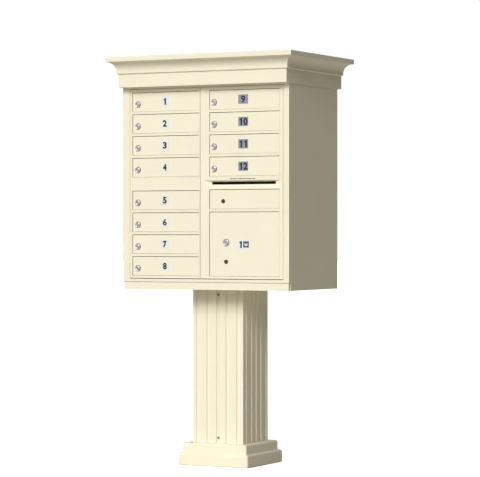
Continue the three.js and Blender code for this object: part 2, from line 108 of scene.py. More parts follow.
def sun(name, azimuth, elevation, spread, strength):
    """A lamp as wide as a softbox. Azimuth goes round from the front towards -X."""
    data = bpy.data.lights.new(name, "SUN")
    data.energy = strength
    data.angle = math.radians(spread)
    lamp = link(bpy.data.objects.new(name, data))
    lamp.rotation_euler = (math.radians(90 - elevation), 0, -math.radians(azimuth))


def light_world():
    """Even grey light from all round, behind which the backdrop itself is white."""
    world = bpy.data.worlds.new("studio")
    bpy.context.scene.world = world
    world.use_nodes = True
    tree = world.node_tree
    tree.nodes.clear()
    fill = tree.nodes.new("ShaderNodeBackground")
    fill.inputs["Color"].default_value = (1.0, 0.96, 0.9, 1)
    fill.inputs["Strength"].default_value = FILL_STRENGTH
    backdrop = tree.nodes.new("ShaderNodeBackground")
    backdrop.inputs["Color"].default_value = (1, 1, 1, 1)
    path = tree.nodes.new("ShaderNodeLightPath")
    mix = tree.nodes.new("ShaderNodeMixShader")
    output = tree.nodes.new("ShaderNodeOutputWorld")
    tree.links.new(path.outputs["Is Camera Ray"], mix.inputs["Fac"])
    tree.links.new(fill.outputs["Background"], mix.inputs[1])
    tree.links.new(backdrop.outputs["Background"], mix.inputs[2])
    tree.links.new(mix.outputs["Shader"], output.inputs["Surface"])


def floor_material():
    """Bright paper that throws less light up than it shows."""
    material = bpy.data.materials.new("floor_paper")
    material.use_nodes = True
    tree = material.node_tree
    tree.nodes.clear()
    bounce = tree.nodes.new("ShaderNodeBsdfDiffuse")
    bounce.inputs["Color"].default_value = (*FLOOR_BOUNCE, 1)
    paper = tree.nodes.new("ShaderNodeBsdfDiffuse")
    paper.inputs["Color"].default_value = (*FLOOR_PAPER, 1)
    glow = tree.nodes.new("ShaderNodeEmission")
    glow.inputs["Color"].default_value = (1, 1, 1, 1)
    glow.inputs["Strength"].default_value = FLOOR_GLOW
    lit = tree.nodes.new("ShaderNodeAddShader")
    path = tree.nodes.new("ShaderNodeLightPath")
    mix = tree.nodes.new("ShaderNodeMixShader")
    output = tree.nodes.new("ShaderNodeOutputMaterial")
    tree.links.new(paper.outputs["BSDF"], lit.inputs[0])
    tree.links.new(glow.outputs["Emission"], lit.inputs[1])
    tree.links.new(path.outputs["Is Camera Ray"], mix.inputs["Fac"])
    tree.links.new(bounce.outputs["BSDF"], mix.inputs[1])
    tree.links.new(lit.outputs["Shader"], mix.inputs[2])
    tree.links.new(mix.outputs["Shader"], output.inputs["Surface"])
    return material


def lay_floor():
    half = FLOOR_HALF
    mesh = bpy.data.meshes.new("floor")
    corners = [(-half, -half, 0), (half, -half, 0), (half, half, 0), (-half, half, 0)]
    mesh.from_pydata(corners, [], [(0, 1, 2, 3)])
    floor = link(bpy.data.objects.new("floor", mesh))
    floor.location.z = -FLOOR_DROP
    mesh.materials.append(floor_material())


def set_stage():
    place_camera()
    sun("key", KEY_AZIMUTH, KEY_ELEVATION, KEY_SPREAD, KEY_STRENGTH)
    sun("soft_key", SOFT_AZIMUTH, SOFT_ELEVATION, SOFT_SPREAD, SOFT_STRENGTH)
    sun("back_fill", BACK_AZIMUTH, BACK_ELEVATION, BACK_SPREAD, BACK_FILL_STRENGTH)
    light_world()
    lay_floor()
    bpy.context.scene.view_settings.view_transform = "Standard"


# ---- Finishes ----
def new_finish(name, colour, roughness, metallic=0.0):
    material = bpy.data.materials.new(name)
    material.use_nodes = True
    shader = material.node_tree.nodes["Principled BSDF"]
    shader.inputs["Base Color"].default_value = (*colour, 1)
    shader.inputs["Roughness"].default_value = roughness
    shader.inputs["Metallic"].default_value = metallic
    return material, shader


def place(material, stretch=(1, 1, 1)):
    """Object coordinates, stretched along each axis."""
    nodes, links = material.node_tree.nodes, material.node_tree.links
    coordinates = nodes.new("ShaderNodeTexCoord")
    mapping = nodes.new("ShaderNodeMapping")
    mapping.inputs["Scale"].default_value = stretch
    links.new(coordinates.outputs["Object"], mapping.inputs["Vector"])
    return mapping.outputs["Vector"]


def noise(material, where, grain, detail=3.0, roughness=0.55):
    """Noise whose lumps are about grain metres across."""
    nodes, links = material.node_tree.nodes, material.node_tree.links
    node = nodes.new("ShaderNodeTexNoise")
    node.inputs["Scale"].default_value = 1 / grain
    node.inputs["Detail"].default_value = detail
    node.inputs["Roughness"].default_value = roughness
    links.new(where, node.inputs["Vector"])
    return node.outputs["Fac"]


def cells(material, where, grain, output="Color"):
    nodes, links = material.node_tree.nodes, material.node_tree.links
    node = nodes.new("ShaderNodeTexVoronoi")
    node.inputs["Scale"].default_value = 1 / grain
    links.new(where, node.inputs["Vector"])
    return node.outputs[output]


def spread(material, value, low, high, start=0.3, end=0.7):
    """Maps a pattern from start..end to low..high."""
    nodes, links = material.node_tree.nodes, material.node_tree.links
    node = nodes.new("ShaderNodeMapRange")
    node.inputs["From Min"].default_value = start
    node.inputs["From Max"].default_value = end
    node.inputs["To Min"].default_value = low
    node.inputs["To Max"].default_value = high
    links.new(value, node.inputs["Value"])
    return node.outputs["Result"]


def tones(material, value, stops):
    """A colour ramp of (position, colour) stops."""
    nodes, links = material.node_tree.nodes, material.node_tree.links
    node = nodes.new("ShaderNodeValToRGB")
    elements = node.color_ramp.elements
    while len(elements) < len(stops):
        elements.new(0.5)
    for element, (position, colour) in zip(elements, stops):
        element.position = position
        element.color = (*colour, 1)
    links.new(value, node.inputs["Fac"])
    return node.outputs["Color"]


def blend_colours(material, share, first, second):
    nodes, links = material.node_tree.nodes, material.node_tree.links
    node = nodes.new("ShaderNodeMix")
    node.data_type = "RGBA"
    node.inputs["Factor"].default_value = share
    links.new(first, node.inputs["A"])
    links.new(second, node.inputs["B"])
    return node.outputs["Result"]


def emboss(material, shader, height, strength, depth):
    nodes, links = material.node_tree.nodes, material.node_tree.links
    node = nodes.new("ShaderNodeBump")
    node.inputs["Strength"].default_value = strength
    node.inputs["Distance"].default_value = depth
    links.new(height, node.inputs["Height"])
    links.new(node.outputs["Normal"], shader.inputs["Normal"])


def shade(colour, factor):
    return tuple(channel * factor for channel in colour)


def powder_coat(name, colour):
    """Sprayed and baked paint: a fine orange peel, faint clouds of tone and a few darker specks."""
    material, shader = new_finish(name, colour, 0.45)
    links = material.node_tree.links
    where = place(material)
    clouds = tones(material, noise(material, where, 0.16, 4), [
        (0.3, shade(colour, 0.975)), (0.7, shade(colour, 1.015))])
    specks = tones(material, noise(material, where, 0.0012, 2), [
        (0.24, shade(colour, 0.80)), (0.34, colour)])
    links.new(blend_colours(material, 0.25, clouds, specks), shader.inputs["Base Color"])
    links.new(spread(material, noise(material, where, 0.03, 3), 0.40, 0.52), shader.inputs["Roughness"])
    shader.inputs["Coat Weight"].default_value = 0.12
    shader.inputs["Coat Roughness"].default_value = 0.25
    emboss(material, shader, noise(material, where, 0.0016, 2), 0.12, 0.00025)
    return material


def satin_metal(name, colour, roughness, grain, contrast=0.12):
    """Turned or drawn metal with fine lines along X and cloudy wear."""
    material, shader = new_finish(name, colour, roughness, 1.0)
    links = material.node_tree.links
    lines = noise(material, place(material, (0.15, 1, 1)), grain, 3)
    clouds = noise(material, place(material), grain * 30, 3)
    mixed = blend_colours(
        material, 0.5,
        tones(material, lines, [(0.3, shade(colour, 1 - contrast)), (0.7, shade(colour, 1 + contrast))]),
        tones(material, clouds, [(0.3, shade(colour, 1 - contrast)), (0.7, colour)]))
    links.new(mixed, shader.inputs["Base Color"])
    links.new(spread(material, lines, roughness - 0.06, roughness + 0.10), shader.inputs["Roughness"])
    emboss(material, shader, lines, 0.05, 0.0001)
    return material


def tarnished_brass(name):
    bright, dull = (0.24, 0.15, 0.065), (0.09, 0.055, 0.03)
    material, shader = new_finish(name, bright, 0.38, 1.0)
    links = material.node_tree.links
    stains = noise(material, place(material), 0.004, 5, 0.65)
    links.new(tones(material, stains, [(0.35, dull), (0.62, bright)]), shader.inputs["Base Color"])
    links.new(spread(material, stains, 0.55, 0.30), shader.inputs["Roughness"])
    emboss(material, shader, stains, 0.15, 0.0001)
    return material


def galvanised(name):
    """Zinc spangle: flat crystals of differing grey."""
    pale, dark = (0.62, 0.63, 0.64), (0.44, 0.45, 0.47)
    material, shader = new_finish(name, pale, 0.42, 0.9)
    links = material.node_tree.links
    crystals = cells(material, place(material), 0.009)
    links.new(tones(material, crystals, [(0.2, dark), (0.8, pale)]), shader.inputs["Base Color"])
    links.new(spread(material, crystals, 0.34, 0.55, 0.2, 0.8), shader.inputs["Roughness"])
    emboss(material, shader, noise(material, place(material), 0.002, 2), 0.08, 0.0002)
    return material


def printed_film(name, paper, fleck):
    """A pressed-on label of satin film with a faint weave of print dots."""
    material, shader = new_finish(name, paper, 0.5)
    links = material.node_tree.links
    where = place(material)
    dots = tones(material, cells(material, where, 0.0009, output="Distance"), [(0.15, fleck), (0.5, paper)])
    clouds = tones(material, noise(material, where, 0.012, 2), [(0.3, shade(paper, 0.94)), (0.7, paper)])
    links.new(blend_colours(material, 0.6, dots, clouds), shader.inputs["Base Color"])
    links.new(spread(material, noise(material, where, 0.006), 0.42, 0.58), shader.inputs["Roughness"])
    emboss(material, shader, noise(material, where, 0.001, 1), 0.04, 0.0001)
    return material


def dark_plastic(name, colour):
    material, shader = new_finish(name, colour, 0.55)
    links = material.node_tree.links
    where = place(material)
    grain = noise(material, where, 0.0008, 3)
    links.new(tones(material, grain, [(0.3, shade(colour, 0.8)), (0.7, shade(colour, 1.25))]),
              shader.inputs["Base Color"])
    links.new(spread(material, grain, 0.48, 0.65), shader.inputs["Roughness"])
    emboss(material, shader, grain, 0.15, 0.0001)
    return material


CREAM = (0.862, 0.810, 0.632)
paint = powder_coat("cream_powder_coat", CREAM)
aluminium = satin_metal("mill_aluminium", (0.66, 0.66, 0.65), 0.42, 0.0012)
steel = galvanised("zinc_plate")
chrome = satin_metal("satin_chrome", (0.66, 0.64, 0.68), 0.40, 0.0005, 0.08)
blackened = satin_metal("blackened_steel", (0.28, 0.24, 0.18), 0.5, 0.0006)
brass = tarnished_brass("aged_brass")
ink = dark_plastic("label_ink", (0.009, 0.014, 0.032))
grey_film = printed_film("grey_label_film", (0.27, 0.29, 0.36), (0.22, 0.24, 0.31))
pale_film = printed_film("pale_label_film", (0.80, 0.80, 0.79), (0.75, 0.765, 0.78))
# dark rubber whose black serves as painted shade in the door gaps and round the locks' flanges
rubber = dark_plastic("dark_rubber_for_gap_shade", (0.014, 0.014, 0.015))


# ---- Mesh helpers ----
def add_piece(name, mesh, material, body, replaced=(), smooth=35):
    mesh.name = name
    mesh.materials.append(material)
    mesh.shade_smooth()
    mesh.set_sharp_from_angle(angle=math.radians(smooth))
    piece = link(bpy.data.objects.new(name, mesh))
    piece.modifiers.new("even_normals", "WEIGHTED_NORMAL").keep_sharp = True
    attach(piece, body)
    if replaced:
        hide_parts(*replaced)
    return piece


def mesh_of(vertices, faces):
    mesh = bpy.data.meshes.new("made")
    mesh.from_pydata(vertices, [], faces)
    shape = bmesh.new()
    shape.from_mesh(mesh)
    bmesh.ops.recalc_face_normals(shape, faces=shape.faces)
    shape.to_mesh(mesh)
    shape.free()
    return mesh


def joined(meshes):
    """One mesh of several closed shells."""
    shape = bmesh.new()
    for mesh in meshes:
        shape.from_mesh(mesh)
        bpy.data.meshes.remove(mesh)
    mesh = bpy.data.meshes.new("joined")
    shape.to_mesh(mesh)
    shape.free()
    return mesh


def rounded(points, radius, steps=4):
    """A closed outline with each corner turned on an arc."""
    outline = []
    for i, point in enumerate(points):
        here = Vector(point)
        before = Vector(points[i - 1]) - here
        after = Vector(points[(i + 1) % len(points)]) - here
        turn = before.angle(after)
        reach = min(radius / math.tan(turn / 2), before.length * 0.49, after.length * 0.49)
        true_radius = reach * math.tan(turn / 2)
        middle = before.normalized() + after.normalized()
        centre = here + middle.normalized() * (true_radius / math.sin(turn / 2))
        start = here + before.normalized() * reach - centre
        end = here + after.normalized() * reach - centre
        for k in range(steps + 1):
            outline.append(centre + start.slerp(end, k / steps) * true_radius)
    return [tuple(p) for p in outline]


def ring_loft(rings, closed=False):
    """Joins rings of equally many points, capped at both ends. closed joins the last ring to the first."""
    count = len(rings[0])
    vertices = [tuple(p) for ring in rings for p in ring]
    faces = []
    spans = len(rings) if closed else len(rings) - 1
    for i in range(spans):
        a, b = i * count, (i + 1) % len(rings) * count
        for k in range(count):
            n = (k + 1) % count
            faces.append((a + k, a + n, b + n, b + k))
    if not closed:
        faces.append(tuple(reversed(range(count))))
        faces.append(tuple(range((len(rings) - 1) * count, len(rings) * count)))
    return mesh_of(vertices, faces)


def square_ring(half_x, half_y, corner, z, steps=6):
    corners = [(-half_x, -half_y), (half_x, -half_y), (half_x, half_y), (-half_x, half_y)]
    return [(x, y, z) for x, y in rounded(corners, max(corner, 0.05 * MM), steps)]


def circle(radius, sides=48):
    return [(radius * math.cos(TURN * k / sides), radius * math.sin(TURN * k / sides)) for k in range(sides)]


def lathe(profile, to_place, closed=False, sides=48):
    """A profile of (radius, along) turned about an axis. to_place puts (across, up, along) in the frame.

    An open profile starts and ends on small caps, and a closed one makes a ring."""
    rings = [[to_place(x, y, along) for x, y in circle(radius, sides)] for radius, along in profile]
    return ring_loft(rings, closed)


def along_y(x, y, z):
    """Puts a lathe's axis along Y, from the point given towards the back."""
    return lambda across, up, along: (x + across, y + along, z + up)


def along_z(x, y, z):
    return lambda across, up, along: (x + across, y + up, z + along)


def plate(outline, front, back, edge=0.0):
    """An outline of (x, z) points given thickness from y = front to y = back, with softened rims."""
    if not edge:
        return ring_loft([[(x, y, z) for x, z in outline] for y in (front, back)])
    centre = Vector((sum(x for x, _ in outline), sum(z for _, z in outline))) / len(outline)
    rings = []
    for inset, y in ((edge, front), (edge * 0.3, front + edge * 0.3), (0, front + edge),
                     (0, back - edge), (edge * 0.3, back - edge * 0.3), (edge, back)):
        ring = []
        for x, z in outline:
            inward = centre - Vector((x, z))
            reach = Vector((x, z)) + inward.normalized() * inset
            ring.append((reach.x, y, reach.y))
        rings.append(ring)
    return ring_loft(rings)


def rectangle(x0, z0, x1, z1, corner=0.0):
    points = [(x0, z0), (x1, z0), (x1, z1), (x0, z1)]
    return rounded(points, corner) if corner else points


def hex_prism(to_place, radius, bottom, top, chamfer):
    """A hexagonal nut or bolt head whose corners are turned off at both ends."""
    sides = 48
    rings = []
    for along, limit in ((bottom, radius * 0.86), (bottom + chamfer, radius), (top - chamfer, radius),
                         (top, radius * 0.86)):
        ring = []
        for k in range(sides):
            angle = TURN * k / sides
            flat = radius * math.cos(math.pi / 6) / math.cos((angle % (TURN / 6)) - math.pi / 6)
            reach = min(flat, limit)
            ring.append(to_place(reach * math.cos(angle), reach * math.sin(angle), along))
        rings.append(ring)
    return ring_loft(rings)


def dome_profile(radius, height, steps=6):
    """From the rim up to a small flat at the top."""
    points = [(radius, 0)]
    for k in range(steps + 1):
        angle = k / steps * (math.pi / 2 - 0.08)
        points.append((radius * math.cos(angle), height * (0.25 + 0.75 * math.sin(angle))))
    return points


def joint_at(name):
    return Vector(next(j["pos_m"] for j in frame["joints"] if j["name"] == name))


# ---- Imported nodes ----
ARRIS_ANGLE = 35              # degrees, above which an edge is rounded


def dress(node, material, edge=0.5 * MM, segments=2):
    """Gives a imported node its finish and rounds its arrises, as folded and sprayed metal has them."""
    obj = frame["nodes"][node]
    mesh = obj.data
    mesh.materials.clear()
    mesh.materials.append(material)
    for polygon in mesh.polygons:
        polygon.material_index = 0
    mesh.normals_split_custom_set([(0, 0, 0)] * len(mesh.loops))
    mesh.shade_smooth()
    mesh.set_sharp_from_angle(angle=math.radians(ARRIS_ANGLE))
    weld = obj.modifiers.new("weld", "WELD")
    weld.merge_threshold = 0.01 * MM
    flatten = obj.modifiers.new("flatten", "DECIMATE")
    flatten.decimate_type = "DISSOLVE"
    flatten.angle_limit = math.radians(0.4)
    bevel = obj.modifiers.new("arris", "BEVEL")
    bevel.width = edge
    bevel.segments = segments
    bevel.limit_method = "ANGLE"
    bevel.angle_limit = math.radians(ARRIS_ANGLE)
    obj.modifiers.new("even_normals", "WEIGHTED_NORMAL").keep_sharp = True


def dress_nodes():
    for node in ("front_frame", "left_side_panel", "right_side_panel", "back_panel", "cabinet_roof"):
        dress(node, paint, 0.9 * MM, 3)
    dress("base_pan", paint, 1.2 * MM, 3)
    for node in ("left_master_door", "right_master_door", "parcel_door", "outgoing_mail_door"):
        dress(node, paint, 0.5 * MM)
    for number in TENANTS:
        dress(f"tenant_door_{number}", paint, 0.5 * MM)
    for node in ("left_shelf_stack", "right_shelf_stack", "mail_chute"):
        dress(node, aluminium, 0.3 * MM)
    for node in ("pedestal", "master_latch_bar"):
        dress(node, steel, 0.5 * MM)
    for node in ("parcel_arrow_bolt", "outgoing_arrow_bolt"):
        dress(node, brass, 0.4 * MM)


# ---- Crown, pillar and plinth ----
CROWN_PROJECTION = 40 * MM
CROWN_BEAD = 6 * MM
CROWN_FASCIA_TOP = 55.5 * MM  # above the crown's lower edge
CROWN_COVE_BOTTOM = 65 * MM
CROWN_SLAB = 20 * MM
CROWN_WALL = 3 * MM
CROWN_SOFFIT_RISE = 2.5 * MM
CROWN_SOFFIT_INSET = 41.4 * MM


def quarter_round(half, top, radius, steps=6):
    """From straight up a wall to flat on top, as (half size, height) pairs."""
    points = []
    for k in range(steps + 1):
        angle = k / steps * math.pi / 2
        points.append((half - radius * (1 - math.cos(angle)), top - radius * (1 - math.sin(angle))))
    return points


def build_crown():
    """Fascia, bead, cove and slab of one folded moulding, hollow and open below, with a soffit flange."""
    low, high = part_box("crown_cap")
    fascia = high.y - CROWN_PROJECTION
    bead = fascia + CROWN_BEAD
    slab_bottom = high.z - CROWN_SLAB
    fascia_top = low.z + CROWN_FASCIA_TOP
    cove_bottom = low.z + CROWN_COVE_BOTTOM
    edge = 1.2 * MM
    outside = [(fascia, low.z + 0.6 * MM), (fascia, fascia_top - 0.8 * MM), (fascia + 0.5 * MM, fascia_top),
               (bead - 1.2 * MM, fascia_top + 1.4 * MM), (bead - 0.2 * MM, fascia_top + 2.4 * MM),
               (bead, fascia_top + 4 * MM)]
    steps = 20
    reach = high.y - edge - bead
    for k in range(steps + 1):
        angle = k / steps * math.pi / 2
        outside.append((high.y - edge - reach * math.cos(angle),
                        cove_bottom + (slab_bottom - cove_bottom) * math.sin(angle)))
    outside.append((high.y - 0.3 * edge, slab_bottom + 0.4 * edge))
    outside.append((high.y, slab_bottom + 1.2 * edge))
    outside += quarter_round(high.y, high.z, 2 * edge)
    soffit = low.z + CROWN_SOFFIT_RISE
    inner = fascia - CROWN_WALL
    lip = fascia - CROWN_SOFFIT_INSET
    inside = [(fascia - 0.6 * MM, low.z), (inner, low.z), (inner, soffit), (lip, soffit),
              (lip, soffit + CROWN_WALL), (inner, soffit + CROWN_WALL), (inner, fascia_top + CROWN_WALL),
              (bead - CROWN_WALL, cove_bottom + CROWN_WALL), (bead + 3 * MM, slab_bottom - 6 * MM),
              (high.y - 9 * MM, high.z - 5 * MM)]
    profile = list(reversed(inside)) + outside
    corner = 1.6 * MM
    stretch = high.x - high.y
    rings = [square_ring(half + stretch, half, corner, z) for half, z in profile]
    add_piece("crown_moulding", ring_loft(rings), paint, "cabinet", ["crown_cap"])


FLUTE_PLACES = (-0.8, -0.38, 0, 0.38, 0.8)    # of half a face
FLUTE_HALF = 8.5 * MM
FLUTE_DEPTH = 6.5 * MM
PILLAR_WALL = 9 * MM
PILLAR_CORNER = 1.2 * MM
PILLAR_SEAM = 0.6 * MM


def fluted_face(half):
    """One face of the pillar from corner to corner, as (along, depth) points."""
    arc = 14
    face = [(-half + PILLAR_CORNER, 0)]
    for spot in FLUTE_PLACES:
        for k in range(arc + 1):
            angle = k / arc * math.pi
            face.append((spot * half - FLUTE_HALF * math.cos(angle), FLUTE_DEPTH * math.sin(angle)))
    face.append((half - PILLAR_CORNER, 0))
    face.append((half - 0.3 * PILLAR_CORNER, 0.3 * PILLAR_CORNER))
    return face


def build_pillar():
    """Two half covers that meet in the middle flute, front and back."""
    low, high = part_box("pillar_cover")
    outline = []
    for quarter in (1, 2, 3, 0):
        c, s = math.cos(quarter * TURN / 4), math.sin(quarter * TURN / 4)
        half, out = (high.y, high.x) if quarter % 2 else (high.x, high.y)
        outline += [(along * c + (out - depth) * s, along * s - (out - depth) * c)
                    for along, depth in fluted_face(half)]
    seam = PILLAR_SEAM / 2
    groove = high.y - FLUTE_DEPTH
    inner_x, inner_y = high.x - PILLAR_WALL, high.y - PILLAR_WALL
    left_half = [(-seam, groove)] + [(x, y) for x, y in outline if x < -seam - 0.2 * MM] + [
        (-seam, -groove), (-seam, -inner_y), (-inner_x, -inner_y), (-inner_x, inner_y), (-seam, inner_y)]
    for name, side, replaced in (("pillar_half_left", 1, ["pillar_cover"]), ("pillar_half_right", -1, [])):
        rings = [[(x * side, y, z) for x, y in left_half] for z in (low.z, high.z)]
        add_piece(name, ring_loft(rings), paint, "cabinet", replaced, smooth=28)


PLINTH_STEP = 14 * MM
PLINTH_BLOCK_TOP = 54 * MM
PLINTH_EDGE = 10 * MM
PLINTH_WALL = 5 * MM
PLINTH_HOLE_INSET = 58 * MM
PLINTH_CORNER = 7 * MM


def build_plinth():
    """A block with a smaller step on it, both with a rounded top edge, standing on a narrow foot."""
    _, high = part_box("plinth_cover")
    half, top, block_top = high.y, high.z, PLINTH_BLOCK_TOP
    step = half - PLINTH_STEP
    hole = half - PLINTH_HOLE_INSET
    outside = [(half - 4 * MM, 0), (half - 4 * MM, 2.2 * MM), (half - 0.8 * MM, 2.8 * MM), (half, 4 * MM)]
    outside += quarter_round(half, block_top, PLINTH_EDGE)
    outside += [(step + 2.4 * MM, block_top), (step + 0.9 * MM, block_top + 0.6 * MM),
                (step, block_top + 2.4 * MM)]
    outside += quarter_round(step, top, PLINTH_EDGE)
    inside = [
        (hole, top), (hole, top - PLINTH_WALL), (step - PLINTH_EDGE, top - PLINTH_WALL),
        (step - PLINTH_WALL, top - PLINTH_EDGE), (step - PLINTH_WALL, block_top - PLINTH_WALL),
        (half - PLINTH_EDGE, block_top - PLINTH_WALL), (half - PLINTH_WALL, block_top - PLINTH_EDGE),
        (half - PLINTH_WALL, 0),
    ]
    stretch = high.x - high.y
    rings = [square_ring(size + stretch, size, PLINTH_CORNER, z) for size, z in outside + inside]
    add_piece("plinth_moulding", ring_loft(rings, closed=True), paint, "cabinet",
              ["plinth_cover"])


# ---- Locks ----
LARGE_FLANGE = 13 * MM        # radius from which a lock is the parcel door's large one
FLANGE_THICKNESS = 4 * MM
# thickness of the dark ring of painted shade under each lock's flange
SHADE_RING_THICKNESS = 0.3 * MM
DOOR_SHEET = 3 * MM
LOCK_SIDES = 48
CAM_WIDTH = 10 * MM
CAM_THICKNESS = 2 * MM
KEYWAY_WIDTH = 1.7 * MM
KEYWAY_HEIGHT = 7.4 * MM
KEYWAY_DEPTH = 2.0 * MM


def bore_radius(flange):
    return flange - 5.5 * MM if flange < LARGE_FLANGE else flange - 6 * MM


def lock_housing(name, node, body):
    """A turned flange with a raised rim and a step down to the plug, on a threaded body."""
    low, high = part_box(node)
    centre = (low + high) / 2
    flange = (high.x - low.x) / 2
    depth = high.y - low.y
    barrel = flange - 2.5 * MM if flange < LARGE_FLANGE else flange - 3 * MM
    bore = bore_radius(flange)
    profile = [
        (bore, 0.6 * MM), (bore + 0.5 * MM, 0.15 * MM), (bore + 1.2 * MM, 0), (bore + 2.0 * MM, 0.35 * MM),
        (bore + 2.5 * MM, 0.75 * MM), (bore + 3.1 * MM, 0.35 * MM), (flange - 1.5 * MM, 0.1 * MM),
        (flange - 0.9 * MM, 0.35 * MM), (flange - 0.3 * MM, 0.9 * MM), (flange, 1.7 * MM),
        (flange, 3.8 * MM), (flange - 0.2 * MM, FLANGE_THICKNESS), (barrel, FLANGE_THICKNESS),
    ]
    along = 4.4 * MM
    while along < depth - 1.2 * MM:
        profile += [(barrel, along), (barrel - 0.45 * MM, along + 0.5 * MM), (barrel, along + 1.0 * MM)]
        along += 1.05 * MM
    profile += [(barrel - 0.5 * MM, depth), (bore, depth)]
    mesh = lathe(profile, along_y(centre.x, low.y, centre.z), closed=True)
    add_piece(name, mesh, chrome, body, [node], smooth=40)


def keyway_reach(angle, half_width, half_height):
    """From the middle of an upright slot to its edge, at an angle from across."""
    across, up = abs(math.cos(angle)), abs(math.sin(angle))
    return min(half_width / max(across, 1e-6), half_height / max(up, 1e-6))


def plug_with_keyway(to_place, radius, depth):
    """A plug whose face holds a real slot for the key: the rim of the face runs in to a slotted ring."""
    face_edge = 0.5 * MM
    rim, soft, slot, floor, back = [], [], [], [], []
    for k in range(LOCK_SIDES):
        angle = TURN * (k + 0.5) / LOCK_SIDES
        c, s = math.cos(angle), math.sin(angle)
        reach = keyway_reach(angle, KEYWAY_WIDTH / 2, KEYWAY_HEIGHT / 2)
        rim.append(to_place(radius * c, radius * s, face_edge))
        soft.append(to_place((radius - face_edge) * c, (radius - face_edge) * s, 0))
        slot.append(to_place(reach * c, reach * s, 0))
        floor.append(to_place(reach * c, reach * s, KEYWAY_DEPTH))
        back.append(to_place(radius * c, radius * s, depth))
    return ring_loft([floor, slot, soft, rim, back])


def lock_cam(name, node, body, flange):
    """Plug, cam arm with a round end and the screw that holds the two together."""
    low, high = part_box(node)
    radius = bore_radius(flange) - 0.3 * MM
    centre = Vector(((low.x + high.x) / 2, low.y, low.z + radius))
    depth = high.y - low.y
    to_place = along_y(centre.x, low.y, centre.z)
    plug = plug_with_keyway(to_place, radius, depth)
    half = CAM_WIDTH / 2
    arm_top = high.z - half
    outline = [(centre.x - half, centre.z - 3 * MM), (centre.x + half, centre.z - 3 * MM)]
    for k in range(13):
        angle = k / 12 * math.pi
        outline.append((centre.x + half * math.cos(angle), arm_top + half * math.sin(angle)))
    arm = plate(outline, high.y - CAM_THICKNESS, high.y, 0.3 * MM)
    screw = lathe([(3.6 * MM, -0.6 * MM)] + dome_profile(3.6 * MM, 1.5 * MM),
                  along_y(centre.x, high.y, centre.z), sides=24)
    add_piece(name, joined([plug, arm, screw]), chrome, body, [node], smooth=40)


def lock_gasket(name, node, body):
    """A thin dark ring round a lock's flange: painted shade, standing in for the shadow line round the
    flange.
    """
    low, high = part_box(node)
    centre = (low + high) / 2
    flange = (high.x - low.x) / 2
    front = low.y + FLANGE_THICKNESS
    back = front + SHADE_RING_THICKNESS
    profile = [(flange - 2 * MM, front), (flange + 1.3 * MM, front), (flange + 1.5 * MM, back),
               (flange - 2 * MM, back)]
    mesh = lathe(profile, along_y(centre.x, 0, centre.z), closed=True)
    add_piece(name, mesh, rubber, body, smooth=40)


def lock_nut(name, node, body):
    """The hexagonal nut that clamps a lock to the back of its door."""
    low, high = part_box(node)
    centre = (low + high) / 2
    flange = (high.x - low.x) / 2
    door_back = low.y + FLANGE_THICKNESS + SHADE_RING_THICKNESS + DOOR_SHEET
    to_place = along_y(centre.x, door_back + 0.1 * MM, centre.z)
    nut = hex_prism(to_place, flange + 1 * MM, 0, 4 * MM, 0.7 * MM)
    add_piece(name, nut, steel, body, smooth=30)


def arrow_lock(name, node, body):
    """A brass lock case with a round boss in the door, whose face has a raised rim and a key slot."""
    low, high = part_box(node)
    centre = (low + high) / 2
    boss = 9 * MM
    to_place = along_y(centre.x, low.y, centre.z)
    depth = 5.2 * MM
    slot_half_width, slot_half_height, slot_depth = 1.7 * MM, 3.6 * MM, 1.9 * MM
    levels = [(boss, depth), (boss, 0.5 * MM), (boss - 0.4 * MM, 0.1 * MM), (boss - 1.0 * MM, 0),
              (boss - 1.7 * MM, 0.15 * MM), (boss - 2.1 * MM, 0.6 * MM)]
    rings = []
    angles = [TURN * (k + 0.5) / LOCK_SIDES for k in range(LOCK_SIDES)]
    for radius, along in levels:
        rings.append([to_place(radius * math.cos(a), radius * math.sin(a), along) for a in angles])
    for along in (0.6 * MM, 0.6 * MM + slot_depth):
        ring = []
        for a in angles:
            reach = keyway_reach(a, slot_half_width, slot_half_height)
            ring.append(to_place(reach * math.cos(a), reach * math.sin(a), along))
        rings.append(ring)
    face = ring_loft(rings)
    case_front = low.y + 4.1 * MM
    case = plate(rectangle(low.x, low.z, high.x, high.z, 2 * MM), case_front, high.y, 0.6 * MM)
    screws = []
    for x in (low.x + 5 * MM, high.x - 5 * MM):
        for z in (low.z + 5 * MM, high.z - 5 * MM):
            screws.append(lathe([(2.4 * MM, -0.5 * MM)] + dome_profile(2.4 * MM, 0.12 * MM),
                                along_y(x, high.y, z), sides=20))
    add_piece(name, joined([face, case, *screws]), brass, body, [node], smooth=40)


def build_locks():
    for number in TENANTS:
        housing = f"tenant_lock_housing_{number}"
        low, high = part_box(housing)
        flange = (high.x - low.x) / 2
        lock_housing(f"tenant_lock_{number}", housing, f"tenant_{number}")
        lock_cam(f"tenant_plug_{number}", f"tenant_lock_cam_{number}", f"tenant_cam_{number}", flange)
        lock_nut(f"tenant_lock_nut_{number}", housing, f"tenant_{number}")
        lock_gasket(f"tenant_lock_gasket_{number}", housing, f"tenant_{number}")
    low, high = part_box("parcel_lock_housing")
    lock_housing("parcel_lock", "parcel_lock_housing", "parcel")
    lock_cam("parcel_plug", "parcel_lock_cam", "parcel_cam", (high.x - low.x) / 2)
    lock_nut("parcel_lock_nut", "parcel_lock_housing", "parcel")
    lock_gasket("parcel_lock_gasket", "parcel_lock_housing", "parcel")
    arrow_lock("parcel_arrow_case", "parcel_arrow_lock", "parcel")
    arrow_lock("outgoing_arrow_case", "outgoing_arrow_lock", "outgoing")


